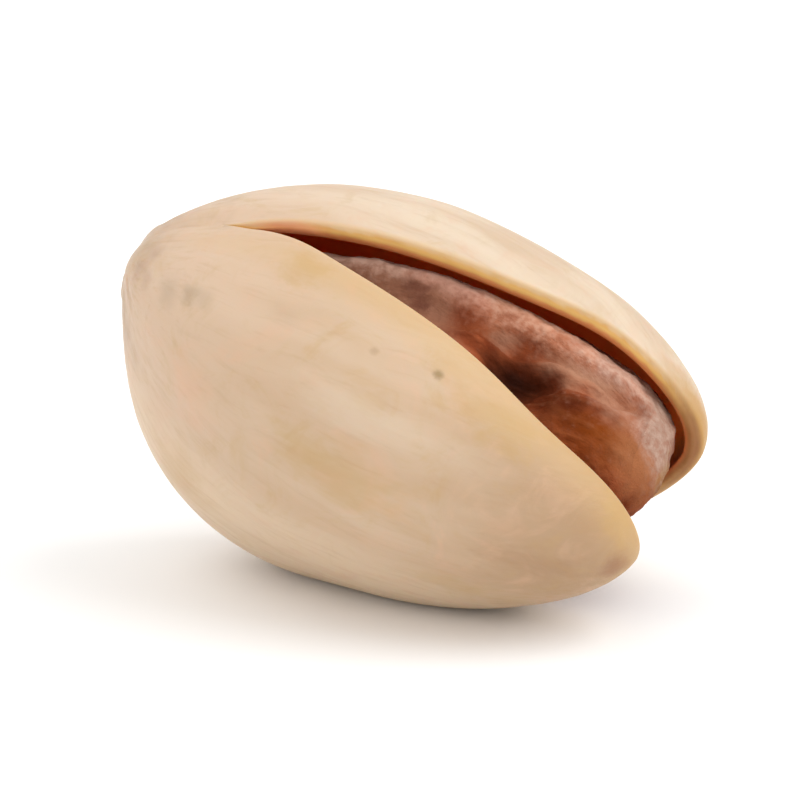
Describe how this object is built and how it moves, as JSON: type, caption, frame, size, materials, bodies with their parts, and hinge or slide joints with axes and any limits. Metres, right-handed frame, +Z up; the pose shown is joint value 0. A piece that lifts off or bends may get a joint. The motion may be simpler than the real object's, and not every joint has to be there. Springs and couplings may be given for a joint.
{
  "type": "pistachio in shell",
  "caption": "Whole pistachio nut lying on its side, its woody shell split open from the tip along the seam with the seed showing inside.",
  "frame": {"origin": "on the surface that the nut lies on, under the middle of its bounding box", "axes": "+X along the nut from the stalk end to the tip, +Y away from the cheek that it leans on, +Z up"},
  "size_m": [0.021, 0.0144, 0.0142],
  "materials": {
    "shell": "smooth, satin, cream to beige, with faint fibres and a few small specks",
    "seed_skin": "dry papery skin, wrinkled, dusty mauve on the ridges and reddish brown on the flanks"
  },
  "bodies": {
    "root": {"shell": "shell", "kernel": "seed_skin"}
  },
  "joints": []
}
